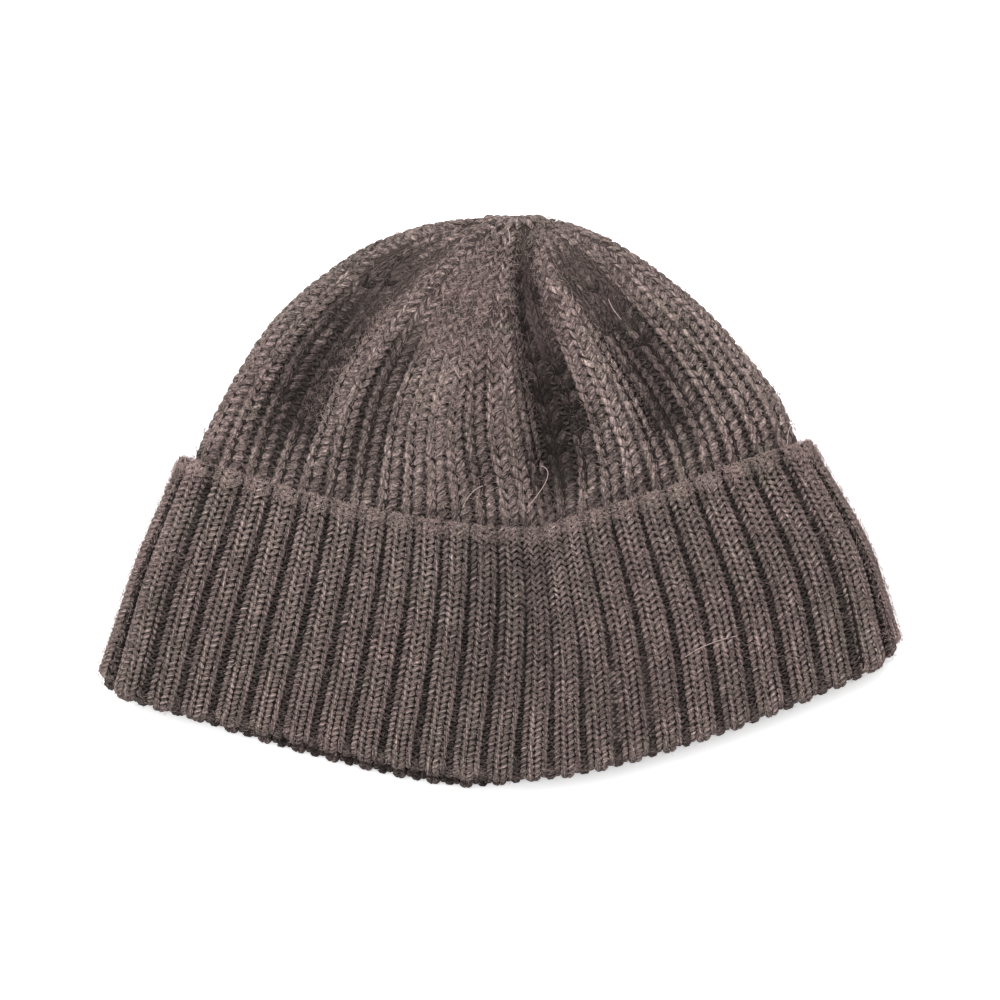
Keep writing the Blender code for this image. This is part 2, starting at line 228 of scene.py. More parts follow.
def fabric_point(height, share, out):
    """A point of the fabric: height above the lower edge, share of the way round, out from the hollow."""
    course, half_hollow = course_at(height)
    climb = (height - CUFF_DEPTH) / CROWN_HEIGHT
    half_gap = course.gap * HOLLOW / 2
    straight = max(half_hollow - half_gap, 0.0)
    middle_x, side, up = flat_ring(share, straight, half_gap + FOLD_RADIUS)
    half_width = straight + half_gap + FOLD_RADIUS
    across = (middle_x + side * (half_gap + FOLD_RADIUS)) / half_width
    front = max(up, 0.0)
    past_rim = smooth_step(height, CUFF_DEPTH, CUFF_DEPTH + BACK_DROP_RUN)
    middle_z = half_gap + CUFF_STACK + (CROWN_FACE - CUFF_STACK) * past_rim
    puff = course.puff * CROWN_PUFF * max(1 - across**2, 0.0) ** 1.5
    folds = sum(fold_depth(fold, climb, across) for fold in FOLDS)
    near_fold = (1 - smooth_step(height, 0.0, RETRACT_FADE)) * front
    retract = FRONT_RETRACT * near_fold * math.exp(-(((across - RETRACT_PLACE) / RETRACT_BREADTH) ** 4))
    x = middle_x + side * (half_gap + out)
    x += course.shift * RIM_HALF_WIDTH + wale_drift(height, across) * half_width
    y = height + bow(course, across) + corner_lift(height, across) + retract - CAP_HEIGHT / 2
    return x, y, middle_z + up * (half_gap + out) + front * (puff - folds)


# %% [markdown]
# ## The two faces that are seen
# The cuff is one band. Its face starts behind the free rim, goes over the rim, down the outer leaf, round the
# fold and up the inner leaf, so a place on it is a run along the band and a share of the way round. The
# crown's face starts at the seam behind the cuff and runs up to the tip. The solids were centred over their
# footprint after they were made, and the frame's box tells how far to move these points to match them.

# %% The cuff's face and the crown's face
LIP = CUFF_WALL / 2
LIP_TURN = math.pi * LIP
LEAF = CUFF_DEPTH - FOLD_RADIUS
FOLD_TURN = math.pi * FOLD_RADIUS
INNER_LEAF = SEAM_HEIGHT - FOLD_RADIUS


def cuff_face(run, share, lift):
    """A point lift off the band's face. A run below 0 goes over the rim's round lip and down behind it."""
    if run < -LIP_TURN:
        return fabric_point(CUFF_DEPTH + run + LIP_TURN, share, CUFF_STACK - 2 * LIP - lift)
    if run < 0:
        radius = LIP + lift
        angle = -run / LIP
        out = CUFF_STACK - LIP + radius * math.cos(angle)
        return fabric_point(CUFF_DEPTH + radius * math.sin(angle), share, out)
    if run < LEAF:
        return fabric_point(CUFF_DEPTH - run, share, CUFF_STACK + lift)
    if run < LEAF + FOLD_TURN:
        radius = FOLD_RADIUS + lift
        angle = (run - LEAF) / FOLD_RADIUS
        out = FOLD_RADIUS + radius * math.cos(angle)
        return fabric_point(FOLD_RADIUS - radius * math.sin(angle), share, out)
    return fabric_point(FOLD_RADIUS + run - LEAF - FOLD_TURN, share, -lift)


def crown_face(height, share, lift):
    """A point lift off the crown's outer face, at a height above the cuff's lower edge."""
    return fabric_point(height, share, CROWN_FACE + lift)


outline = [cuff_face(run / 100 * (LEAF + FOLD_TURN), i / 192, 0.0) for run in range(101) for i in range(192)]
TIP_HEIGHT = CUFF_DEPTH + CROWN_COURSES[-1].climb * CROWN_HEIGHT
tip_points = [crown_face(TIP_HEIGHT, i / 24, 0.0) for i in range(24)]
TIP_RISE = 0.0008
raw_low = np.min(outline, axis=0)
raw_top = max(point[1] for point in tip_points) + TIP_RISE
FOOTPRINT_SHIFT = np.array((0.0, CAD_BOX[1][1] - raw_top, CAD_BOX[0][2] - raw_low[2]))
FOOTPRINT_SHIFT[0] = (CAD_BOX[0][0] + CAD_BOX[1][0] - raw_low[0] - np.max(outline, axis=0)[0]) / 2
print("moved by millimetres:", (FOOTPRINT_SHIFT * 1000).round(2))

# %% Where a place is, which way it faces, and how the knitting runs there
Place = namedtuple("Place", "point facing along around")


def point_on(face, run, share, lift=0.0):
    """A point of a face, in the frame."""
    return np.array(face(run, share, lift)) + FOOTPRINT_SHIFT


def length_of(vector):
    """The length of a vector."""
    return math.sqrt(vector @ vector)


def unit(vector):
    """The vector at length 1."""
    return vector / max(length_of(vector), 1e-12)


SMALL_RUN, SMALL_SHARE = 0.0006, 0.0008


def place_on(face, run, share):
    """The point, where it faces, and the vectors for a metre of run and for a whole turn of share."""
    along = point_on(face, run + SMALL_RUN, share) - point_on(face, run - SMALL_RUN, share)
    around = point_on(face, run, share + SMALL_SHARE) - point_on(face, run, share - SMALL_SHARE)
    along, around = along / (2 * SMALL_RUN), around / (2 * SMALL_SHARE)
    outward = np.cross(around, along) if face == cuff_face else np.cross(along, around)
    return Place(point_on(face, run, share), unit(outward), along, around)


middle_front = place_on(cuff_face, 0.04, 0.25)
print("the middle of the cuff's front faces", middle_front.facing.round(2))

# %% Shade and light painted into the folds, the ridges and the crown under the rim
# How strongly a fold's depth is painted as shade and a ridge as light, and the darkest painted shade.
FOLD_SHADE = 8.5
DARKEST = -4.2
# How dark the rim's painted shadow on the crown is.
RIM_SHADE = 1.8


def painted_fold_shading(height, share):
    """Painted shade, a tint below 0, in a fold, and painted light, a tint above 0, on a ridge, for the front of
    the cap.
    """
    course, half_hollow = course_at(height)
    radius = course.gap * HOLLOW / 2 + FOLD_RADIUS
    straight = max(half_hollow - course.gap * HOLLOW / 2, 0.0)
    middle_x, side, up = flat_ring(share, straight, radius)
    across = (middle_x + side * radius) / (straight + radius)
    climb = (height - CUFF_DEPTH) / CROWN_HEIGHT
    depth = sum(fold_depth(fold, climb, across) for fold in FOLDS) / CROWN_PUFF
    return max(-FOLD_SHADE * depth * max(up, 0.0), DARKEST)


def painted_rim_shadow(height):
    """Painted shadow, a tint below 0, for the crown's first rows, where the rim's shadow falls."""
    return -RIM_SHADE * (1 - smooth_step(height, CUFF_DEPTH + 0.002, CUFF_DEPTH + 0.009))


print("tint in the deep crease:", round(painted_fold_shading(0.13, 0.19), 2))

# %% [markdown]
# ## The colour and surface of the wool
# The yarn is a heather: grey-brown fibres with a few paler, pinkish and greenish ones among them. So its
# colour drifts a little over the cap, changes from stitch to stitch and is speckled along each strand. One
# node group makes that colour, a second one the relief of the twisted fibres, and a third the relief of
# knitting where no stitches are laid. Each could be painted, but noise has no seams and needs no picture.

# %% A node group for the heather's colour
TAUPE = (0.166, 0.126, 0.116, 1.0)
ROSE = (0.174, 0.127, 0.119, 1.0)
MOSS = (0.160, 0.127, 0.111, 1.0)


def new_group(name, inputs, outputs):
    """A shader node group with its sockets, and its input and output nodes."""
    group = bpy.data.node_groups.new(name, "ShaderNodeTree")
    for title, kind, value in inputs:
        socket = group.interface.new_socket(title, in_out="INPUT", socket_type=kind)
        if value is not None:
            socket.default_value = value
    for title, kind in outputs:
        group.interface.new_socket(title, in_out="OUTPUT", socket_type=kind)
    return group, group.nodes.new("NodeGroupInput"), group.nodes.new("NodeGroupOutput")


def add(tree, kind, links=(), **settings):
    """A node with its settings, and its inputs linked or set by name or number."""
    node = tree.nodes.new(kind)
    for key, value in settings.items():
        setattr(node, key, value)
    for key, value in links:
        if isinstance(value, bpy.types.NodeSocket):
            tree.links.new(value, node.inputs[key])
        else:
            node.inputs[key].default_value = value
    return node


def maths(tree, operation, first, second=0.0, third=0.0):
    """The result of a Math node on two or three values or sockets."""
    return add(tree, "ShaderNodeMath", ((0, first), (1, second), (2, third)), operation=operation).outputs[0]


def mixed(tree, share, first, second, blend="MIX"):
    """A colour mixed from two."""
    links = ((0, share), (6, first), (7, second))
    return add(tree, "ShaderNodeMix", links, data_type="RGBA", blend_type=blend).outputs[2]


def noise(tree, position, scale, detail):
    """The value of a Noise Texture."""
    links = (("Vector", position), ("Scale", scale), ("Detail", detail))
    return add(tree, "ShaderNodeTexNoise", links).outputs["Fac"]


def ramp(tree, value, low, high):
    """0 to 1 as a value goes from low to high, smoothly."""
    links = (("Value", value), ("From Min", low), ("From Max", high))
    return add(tree, "ShaderNodeMapRange", links, interpolation_type="SMOOTHSTEP").outputs["Result"]


def heather_group():
    """Colour of the yarn at a place. Tint lightens or darkens a whole stitch, by a fifth for each 1: it carries
    the stitch's own random tone and also painted shade and painted light.
    """
    group, given, out = new_group(
        "heather",
        (("Position", "NodeSocketVector", None), ("Tint", "NodeSocketFloat", 0.0),
         ("Speckle", "NodeSocketFloat", 0.35)),
        (("Color", "NodeSocketColor"),))
    position = given.outputs["Position"]
    rosy = mixed(group, ramp(group, noise(group, position, 22.0, 3.0), 0.42, 0.66), TAUPE, ROSE)
    mossy = mixed(group, ramp(group, noise(group, position, 61.0, 2.0), 0.55, 0.72), rosy, MOSS)
    light = maths(group, "MAXIMUM", maths(group, "MULTIPLY_ADD", given.outputs["Tint"], 0.20, 1.0), 0.05)
    fibre = noise(group, position, 1500.0, 3.0)
    speckle = maths(group, "MULTIPLY", maths(group, "SUBTRACT", fibre, 0.5), 3.2)
    speckle = maths(group, "MULTIPLY_ADD", speckle, given.outputs["Speckle"], 1.0)
    light = maths(group, "MULTIPLY", light, maths(group, "MAXIMUM", speckle, 0.15))
    shade = add(group, "ShaderNodeCombineColor", ((0, light), (1, light), (2, light)))
    group.links.new(mixed(group, 1.0, mossy, shade.outputs[0], "MULTIPLY"), out.inputs["Color"])
    return group


HEATHER = heather_group()
print("heather group has", len(HEATHER.nodes), "nodes")

# %% A node group for the relief of the yarn


def yarn_relief_group():
    """Height of twisted fibres, and a lightness that paints shade into the gaps between the plies and streaks
    the strand with lighter and darker fibres, partly the yarn's own tone and partly painted highlight, from a
    UV that runs along the yarn (u) and round it (v).
    """
    group, given, out = new_group(
        "yarn_relief",
        (("Yarn UV", "NodeSocketVector", None), ("Position", "NodeSocketVector", None),
         ("Plies", "NodeSocketFloat", 3.0), ("Twist", "NodeSocketFloat", 0.5)),
        (("Height", "NodeSocketFloat"), ("Light", "NodeSocketFloat")))
    split = add(group, "ShaderNodeSeparateXYZ", (("Vector", given.outputs["Yarn UV"]),))
    turned = maths(group, "MULTIPLY_ADD", split.outputs["X"], given.outputs["Twist"], split.outputs["Y"])
    phase = maths(group, "MULTIPLY", maths(group, "MULTIPLY", turned, given.outputs["Plies"]), math.pi)
    ply = maths(group, "POWER", maths(group, "ABSOLUTE", maths(group, "SINE", phase)), 0.6)
    links = (("X", maths(group, "MULTIPLY", split.outputs["X"], 1.6)),
             ("Y", maths(group, "MULTIPLY", turned, 9.0)))
    stretched = add(group, "ShaderNodeCombineXYZ", links)
    links = ((0, given.outputs["Position"]), (1, (420.0, 420.0, 420.0)), (2, stretched.outputs[0]))
    spread = add(group, "ShaderNodeVectorMath", links, operation="MULTIPLY_ADD")
    strands = ramp(group, noise(group, spread.outputs[0], 1.0, 2.5), 0.34, 0.66)
    height = maths(group, "MULTIPLY_ADD", ply, 0.55, strands)
    # Light: painted shade between the plies, times streaks that are partly the fibres' own tone and partly
    # painted highlight.
    light = maths(group, "MULTIPLY", maths(group, "MULTIPLY_ADD", strands, 1.15, 0.42),
                  maths(group, "MULTIPLY_ADD", ply, 0.65, 0.48))
    group.links.new(height, out.inputs["Height"])
    group.links.new(light, out.inputs["Light"])
    return group


YARN_RELIEF = yarn_relief_group()
print("relief group has", len(YARN_RELIEF.nodes), "nodes")

# %% A node group for knitting seen from further off


def knit_relief_group():
    """Height of V-shaped stitches, from a UV of share round and run along."""
    group, given, out = new_group(
        "knit_relief",
        (("Knit UV", "NodeSocketVector", None), ("Wales", "NodeSocketFloat", 96.0),
         ("Rows", "NodeSocketFloat", 357.0)),
        (("Height", "NodeSocketFloat"),))
    split = add(group, "ShaderNodeSeparateXYZ", (("Vector", given.outputs["Knit UV"]),))
    wale = maths(group, "FRACT", maths(group, "MULTIPLY", split.outputs["X"], given.outputs["Wales"]))
    from_middle = maths(group, "ABSOLUTE", maths(group, "SUBTRACT", wale, 0.5))
    row = maths(group, "MULTIPLY", split.outputs["Y"], given.outputs["Rows"])
    leaning = maths(group, "FRACT", maths(group, "SUBTRACT", row, maths(group, "MULTIPLY", from_middle, 1.3)))
    strand = maths(group, "SINE", maths(group, "MULTIPLY", leaning, math.pi))
    column = maths(group, "SINE", maths(group, "MULTIPLY", from_middle, 2 * math.pi))
    height = maths(group, "MULTIPLY", maths(group, "POWER", strand, 0.5), maths(group, "POWER", column, 0.4))
    group.links.new(height, out.inputs["Height"])
    return group


KNIT_RELIEF = knit_relief_group()
print("knit group has", len(KNIT_RELIEF.nodes), "nodes")

# %% Three wool materials: the stitches, the fabric under them, and the loose fibres


def wool(name, speckle, shade, relief, sheen):
    """A material in the heather's colour times shade, a factor that paints shade below 1 and light above 1,
    with the relief of yarn or knit, or none. The yarn relief's painted ply shade is multiplied in too.
    """
    material = bpy.data.materials.new(name)
    material.use_nodes = True
    tree = material.node_tree
    shader = tree.nodes["Principled BSDF"]
    shader.inputs["Roughness"].default_value = 0.93
    shader.inputs["Specular IOR Level"].default_value = 0.10
    shader.inputs["Sheen Weight"].default_value = sheen
    shader.inputs["Sheen Roughness"].default_value = 0.6
    shader.inputs["Sheen Tint"].default_value = (0.85, 0.76, 0.70, 1.0)
    place = add(tree, "ShaderNodeTexCoord").outputs["Object"]
    tint = add(tree, "ShaderNodeAttribute", attribute_name="tint").outputs["Fac"]
    links = (("Position", place), ("Tint", tint), ("Speckle", speckle))
    colour = add(tree, "ShaderNodeGroup", links, node_tree=HEATHER)
    shaded = mixed(tree, 1.0, colour.outputs["Color"], (shade, shade, shade, 1.0), "MULTIPLY")
    tree.links.new(shaded, shader.inputs["Base Color"])
    if relief == "none":
        return material
    uv = add(tree, "ShaderNodeUVMap", uv_map="yarn" if relief == "yarn" else "knit").outputs["UV"]
    group = add(tree, "ShaderNodeGroup", node_tree=YARN_RELIEF if relief == "yarn" else KNIT_RELIEF)
    tree.links.new(uv, group.inputs[0])
    if relief == "yarn":
        tree.links.new(place, group.inputs["Position"])
        links = ((0, shaded), (3, group.outputs["Light"]))
        streaked = add(tree, "ShaderNodeVectorMath", links, operation="SCALE")
        tree.links.new(streaked.outputs[0], shader.inputs["Base Color"])
    distance = 0.00040 if relief == "yarn" else 0.0007
    bump = add(tree, "ShaderNodeBump", (("Height", group.outputs["Height"]), ("Distance", distance)))
    tree.links.new(bump.outputs["Normal"], shader.inputs["Normal"])
    return material


# The ground's shade of 0.80 is painted shade for yarn deep between the stitches; the fibres' 1.8 is a painted
# highlight for the light that loose fibres catch.
STITCH_WOOL = wool("stitch_wool", speckle=0.85, shade=1.0, relief="yarn", sheen=0.06)
GROUND_WOOL = wool("ground_wool", speckle=0.30, shade=0.80, relief="knit", sheen=0.0)
FIBRE_WOOL = wool("fibre_wool", speckle=0.10, shade=1.8, relief="none", sheen=0.0)
print("materials:", len(bpy.data.materials))

# %% [markdown]
# ## The fabric under the stitches
# Between real stitches more yarn shows, deep in shadow, and inside the cap the plain wrong side shows. A
# ribbed wall a little below the stitches gives both; its face under the stitches is darkened with painted
# shade, while the inside keeps the yarn's colour. It is a loft: one ring of points for each step along the
# fabric, each joined to the next. It could be one subdivided copy of the solid, but a loft keeps its rows and
# columns in line with the knitting, so that its UV map can carry a knitted bump where no stitches are.

# %% Walls as lofts of rings
UNDER_STITCHES = 0.0013
# Painted shade for the wall's face under the stitches.
PAINTED_GROOVE_SHADE = -4.5
Rib = namedtuple("Rib", "half_wale wider most arch depth")
CUFF_RIB = Rib(half_wale=0.00214, wider=0.15, most=0.244, arch=0.0060, depth=0.0033)
CROWN_RIB = Rib(half_wale=0.00370, wider=0.20, most=0.495, arch=0.0040, depth=0.0028)
CUFF_PITCH, CROWN_PITCH = 0.0098, 0.0076
THREE_WALES = 0.013
PRESSED = 0.0006


def half_wale(rib, pitch, usual_pitch):
    """Half the width of a wale, wider where the ribs are spread."""
    return min(rib.half_wale + rib.wider * max(pitch - usual_pitch, 0.0), pitch * rib.most)


def cuff_wales(around):
    """(count, half width) of a cuff rib's wales: two, or three where the rib is spread round the side."""
    pitch = length_of(around) / CUFF_RIBS
    count = 3 if pitch > THREE_WALES else 2
    return count, half_wale(CUFF_RIB, pitch * 2 / count, CUFF_PITCH)


def rib_sink(rib, offset, edge):
    """How deep the fabric under the stitches lies, at an offset from the rib's middle. It ends at edge."""
    arched = UNDER_STITCHES + min(offset, edge) ** 2 / (2 * rib.arch)
    return min(arched + smooth_step(offset, edge * 0.85, edge * 1.1) * 0.001, rib.depth)


def steps(start, end, most):
    """Even steps from start to end, none longer than most."""
    count = max(1, math.ceil(abs(end - start) / most))
    return [start + (end - start) * i / count for i in range(count + 1)]


def press_on_floor(mesh):
    """Wool that would reach below the floor lies pressed against it instead."""
    places = np.empty(len(mesh.vertices) * 3, dtype=np.float32)
    mesh.vertices.foreach_get("co", places)
    low = places[2::3]
    places[2::3] = np.where(low < PRESSED, PRESSED * np.exp(np.minimum(low / PRESSED - 1, 0.0)), low)
    mesh.vertices.foreach_set("co", places)
    mesh.update()


def turn_outward(mesh, points):
    """The volume that the mesh encloses, after its normals are turned outward."""
    mesh.calc_loop_triangles()
    corners = np.array(points)[np.array([tri.vertices for tri in mesh.loop_triangles])]
    volume = np.einsum("ij,ij->i", corners[:, 0], np.cross(corners[:, 1], corners[:, 2])).sum() / 6
    if volume < 0:
        mesh.flip_normals()
    return abs(volume)


def set_tints(mesh, tints):
    """The tint of each point, for the materials: its own random tone together with painted shade and painted
    light.
    """
    values = np.array(tints, dtype=np.float32)
    mesh.attributes.new("tint", "FLOAT", "POINT").data.foreach_set("value", values)


def in_scene(name, data):
    """A mesh, lamp or camera as an object in the scene."""
    obj = bpy.data.objects.new(name, data)
    bpy.context.scene.collection.objects.link(obj)
    return obj


def loft(name, rings, poles=()):
    """A closed wall through (row, tint, points) rings. Without poles the last ring joins the first."""
    count = len(rings[0][2])
    points = [tuple(point) for row, tint, ring in rings for point in ring]
    faces, places = [], []
    for r in range(len(rings) - (1 if poles else 0)):
        s = (r + 1) % len(rings)
        row, next_row = rings[r][0], rings[s][0]
        for i in range(count):
            j = (i + 1) % count
            faces.append((r * count + i, r * count + j, s * count + j, s * count + i))
            u, next_u = i / count, (i + 1) / count
            places += [(u, row), (next_u, row), (next_u, next_row), (u, next_row)]
    for pole, r, flipped in poles:
        points.append(tuple(pole))
        for i in range(count):
            pair = [(r * count + i, i), (r * count + (i + 1) % count, i + 1)]
            pair = pair[::-1] if flipped else pair
            faces.append((pair[0][0], pair[1][0], len(points) - 1))
            places += [(u, rings[r][0]) for u in (pair[0][1] / count, pair[1][1] / count, 0.5)]
    mesh = bpy.data.meshes.new(name)
    mesh.from_pydata(points, [], faces)
    mesh.uv_layers.new(name="knit").data.foreach_set("uv", np.array(places, dtype=np.float32).ravel())
    mesh.shade_smooth()
    volume = turn_outward(mesh, points)
    mesh.materials.append(GROUND_WOOL)
    poles_tints = [rings[r][1] for pole, r, flipped in poles]
    set_tints(mesh, [tint for row, tint, ring in rings for _ in ring] + poles_tints)
    press_on_floor(mesh)
    print(name, "encloses", round(volume * 1e6), "cubic centimetres, in", len(points), "points")
    return in_scene(name, mesh)


# %% The cuff's wall: its knitted face, and its back between the two leaves
CUFF_POINTS_A_RIB = 8
cuff_points = CUFF_RIBS * CUFF_POINTS_A_RIB
FOLDED = LEAF + FOLD_TURN
STITCHED_TO = FOLDED + 0.016


def cuff_ring(run):
    """A ring of the cuff's face at a run, its ribs a little below the stitches."""
    ring = []
    for rib in range(CUFF_RIBS):
        around = place_on(cuff_face, run, rib / CUFF_RIBS).around
        pitch = length_of(around) / CUFF_RIBS
        count, half = cuff_wales(around)
        edge = count * half
        for i in range(CUFF_POINTS_A_RIB):
            phase = i / CUFF_POINTS_A_RIB - 0.5
            sink = rib_sink(CUFF_RIB, abs(phase) * pitch, edge) * smooth_step(run, -LIP_TURN, 0.002)
            ring.append(point_on(cuff_face, run, (rib + phase) / CUFF_RIBS, -sink))
    # Painted shade darkens the face under the stitches; past them, up the inner leaf, the yarn keeps its
    # colour.
    return run, PAINTED_GROOVE_SHADE * (1 - smooth_step(run, STITCHED_TO - 0.004, STITCHED_TO + 0.002)), ring


def hidden_ring(height, out):
    """A plain ring of the cuff's back, where its two leaves face each other."""
    shares = [i / cuff_points - 0.5 / CUFF_RIBS for i in range(cuff_points)]
    points = [np.array(fabric_point(height, share, out)) + FOOTPRINT_SHIFT for share in shares]
    return 0.0, 0.0, points


cuff_runs = steps(-LIP_TURN - 0.008, 0.0, 0.0016) + steps(0.003, LEAF, 0.0032)
cuff_runs += steps(LEAF + 0.0018, FOLDED, 0.0018) + steps(FOLDED + 0.004, FOLDED + INNER_LEAF, 0.004)
BACK_OF_OUTER = CUFF_STACK - CUFF_WALL - 0.0006
HIDDEN = ((SEAM_HEIGHT, CUFF_WALL), (0.035, CUFF_WALL), (FOLD_RADIUS + 0.001, CUFF_WALL),
          (CUFF_WALL + 0.001, FOLD_RADIUS), (FOLD_RADIUS + 0.001, BACK_OF_OUTER), (0.045, BACK_OF_OUTER))
cuff_rings = [cuff_ring(run) for run in cuff_runs] + [hidden_ring(height, out) for height, out in HIDDEN]
cuff_ground = loft("cuff_ground", cuff_rings)

# %% The crown's wall: its face and its inside, each closed at the tip
CROWN_POINTS_A_RIB = 6


def crown_share(rib, i):
    """The share of the way round for one of a rib's points."""
    return (rib + i / CROWN_POINTS_A_RIB - 0.5) / CROWN_RIBS


def inner_ring(height):
    """A plain ring of the crown's inside."""
    shares = [crown_share(rib, i) for rib in range(CROWN_RIBS) for i in range(CROWN_POINTS_A_RIB)]
    return height, 0.0, [point_on(crown_face, height, share, -CROWN_WALL - CROWN_GROOVE) for share in shares]


def outer_ring(height):
    """A ring of the crown's face, ribbed below the gathers and smoother towards the tip."""
    relief = 1 - smooth_step((height - CUFF_DEPTH) / CROWN_HEIGHT, 0.45, 0.62)
    ring = []
    for rib in range(CROWN_RIBS):
        pitch = length_of(place_on(crown_face, height, rib / CROWN_RIBS).around) / CROWN_RIBS
        half = half_wale(CROWN_RIB, pitch, CROWN_PITCH)
        for i in range(CROWN_POINTS_A_RIB):
            sunk = rib_sink(CROWN_RIB, abs(i / CROWN_POINTS_A_RIB - 0.5) * pitch, half)
            here = place_on(crown_face, height, crown_share(rib, i))
            sink = UNDER_STITCHES - 0.0002 + (sunk - UNDER_STITCHES) * relief
            ring.append(here.point - here.facing * sink)
    # Painted shade darkens the face under the stitches, less towards the tip, where the ribs smooth out.
    return height, PAINTED_GROOVE_SHADE + 0.2 + 1.8 * (1 - relief), ring


# The wall laps over the cuff's inner leaf, or light would show through the seam.
SEAM_LAP = 0.0040
BOTTOM = SEAM_HEIGHT - SEAM_LAP
inside = [inner_ring(height) for height in steps(TIP_HEIGHT, BOTTOM, 0.007)]
outside = [outer_ring(height) for height in steps(BOTTOM, TIP_HEIGHT, 0.003)]
inner_pole = np.mean(inside[0][2], axis=0)
outer_pole = np.mean(outside[-1][2], axis=0) + np.array((0.0, 0.002, 0.0))
crown_rings = inside + outside
crown_ground = loft("crown_ground", crown_rings,
                    poles=((inner_pole, 0, True), (outer_pole, len(crown_rings) - 1, False)))

# %% [markdown]
# ## Geometry Nodes that put a shape on each mark
# A stitch, a purl bar and a loose fibre are all the same job: one small shape, set on thousands of marks. A
# mark is a point that knows which way it faces, which way it runs, how large it is and how its yarn is
# tinted. One tree does this for all of them. It turns the shape with Axes to Rotation, adds a small seeded
# wobble, makes the instances real, and gives each its own cell of a UV map, so that every stitch has room.

# %% The tree
Mark = namedtuple("Mark", "point facing along size tint")


def marks_tree():
    """A tree that sets a shape on every point of a mesh, by the point's own attributes."""
    tree = bpy.data.node_groups.new("shape_on_each_mark", "GeometryNodeTree")
    tree.is_modifier = True
    face = tree.interface
    for title, kind in (("Geometry", "Geometry"), ("Shape", "Object"), ("Wobble", "Float"), ("Seed", "Int"),
                        ("Cell Size", "Float"), ("Material", "Material")):
        face.new_socket(title, in_out="INPUT", socket_type="NodeSocket" + kind)
    face.new_socket("Geometry", in_out="OUTPUT", socket_type="NodeSocketGeometry")
    given, out = tree.nodes.new("NodeGroupInput").outputs, tree.nodes.new("NodeGroupOutput")

    def result(kind, links=(), **settings):
        return add(tree, kind, links, **settings).outputs[0]

    def named(name):
        return result("GeometryNodeInputNamedAttribute", (("Name", name),), data_type="FLOAT_VECTOR")

    axes = ((0, named("facing")), (1, named("along")))
    turn = result("FunctionNodeAxesToRotation", axes, primary_axis="Z", secondary_axis="Y")
    limits = ((0, (-1.0, -1.0, -1.0)), (1, (1.0, 1.0, 1.0)), ("Seed", given["Seed"]))
    chance = result("FunctionNodeRandomValue", limits, data_type="FLOAT_VECTOR")
    spread = result("ShaderNodeVectorMath", ((0, chance), ("Scale", given["Wobble"])), operation="SCALE")
    wobble = result("FunctionNodeEulerToRotation", ((0, spread),))
    turned = result("FunctionNodeRotateRotation", ((0, turn), (1, wobble)), rotation_space="LOCAL")
    shape = add(tree, "GeometryNodeObjectInfo", (("Object", given["Shape"]),)).outputs["Geometry"]
    placed = result("GeometryNodeInstanceOnPoints",
                    (("Points", given["Geometry"]), ("Instance", shape), ("Rotation", turned),
                     ("Scale", named("size"))))
    real = result("GeometryNodeRealizeInstances", (("Geometry", placed),))
    cell_size = result("ShaderNodeCombineXYZ", (("X", given["Cell Size"]), ("Y", given["Cell Size"])))
    in_cell = result("ShaderNodeVectorMath", ((0, named("yarn")), (1, cell_size), (2, named("cell"))),
                     operation="MULTIPLY_ADD")
    baked = result("GeometryNodeStoreNamedAttribute",
                   (("Name", "OFBake"), ("Geometry", real), ("Value", in_cell)),
                   data_type="FLOAT2", domain="CORNER")
    coloured = result("GeometryNodeSetMaterial", (("Geometry", baked), ("Material", given["Material"])))
    tree.links.new(coloured, out.inputs[0])
    return tree


MARKS_TREE = marks_tree()
print("tree has", len(MARKS_TREE.nodes), "nodes")

# %% Run the tree on a list of marks


def shape_on_marks(name, marks, shape, material, wobble, seed):
    """The shape set on every mark, as one plain mesh object."""
    across = math.ceil(math.sqrt(len(marks)))
    mesh = bpy.data.meshes.new(name)
    mesh.from_pydata([tuple(mark.point) for mark in marks], [], [])
    for title in ("facing", "along", "size"):
        values = np.array([getattr(mark, title) for mark in marks], dtype=np.float32)
        mesh.attributes.new(title, "FLOAT_VECTOR", "POINT").data.foreach_set("vector", values.ravel())
    set_tints(mesh, [mark.tint for mark in marks])
    cells = [(i % across / across, i // across / across, 0) for i in range(len(marks))]
    values = np.array(cells, dtype=np.float32)
    mesh.attributes.new("cell", "FLOAT_VECTOR", "POINT").data.foreach_set("vector", values.ravel())
    points = in_scene(name, mesh)
    modifier = points.modifiers.new("marks", "NODES")
    modifier.node_group = MARKS_TREE
    values = {"Shape": shape, "Wobble": wobble, "Seed": seed, "Cell Size": 0.9 / across, "Material": material}
    for item in MARKS_TREE.interface.items_tree:
        if item.in_out == "INPUT" and item.name in values:
            modifier[item.identifier] = values[item.name]
    bpy.context.view_layer.update()
    evaluated = points.evaluated_get(bpy.context.evaluated_depsgraph_get())
    real = bpy.data.meshes.new_from_object(evaluated)
    real.name = name
    points.modifiers.clear()
    points.data = real
    for title in ("facing", "along", "size", "cell"):
        if title in real.attributes:
            real.attributes.remove(real.attributes[title])
    press_on_floor(real)
    real.shade_smooth()
    real.calc_loop_triangles()
    print(name, "has", len(marks), "marks and", len(real.loop_triangles), "triangles")
    return points


# %% [markdown]
# ## One leg of a stitch
# A knit stitch shows as a V: two legs of yarn that rise from under the stitch before, lean apart, and dive
# under the next. Each leg is a short plump tube, thin and low at both ends. It lies along Y, its back faces
# Z, and it is one unit long, wide and high, so that a mark's size gives its real size. Its rings have only
# five or six points, because the material's relief draws the plies, and thousands of legs have to stay light.

# %% A tube through rings of its own
Ring = namedtuple("Ring", "along up radius")


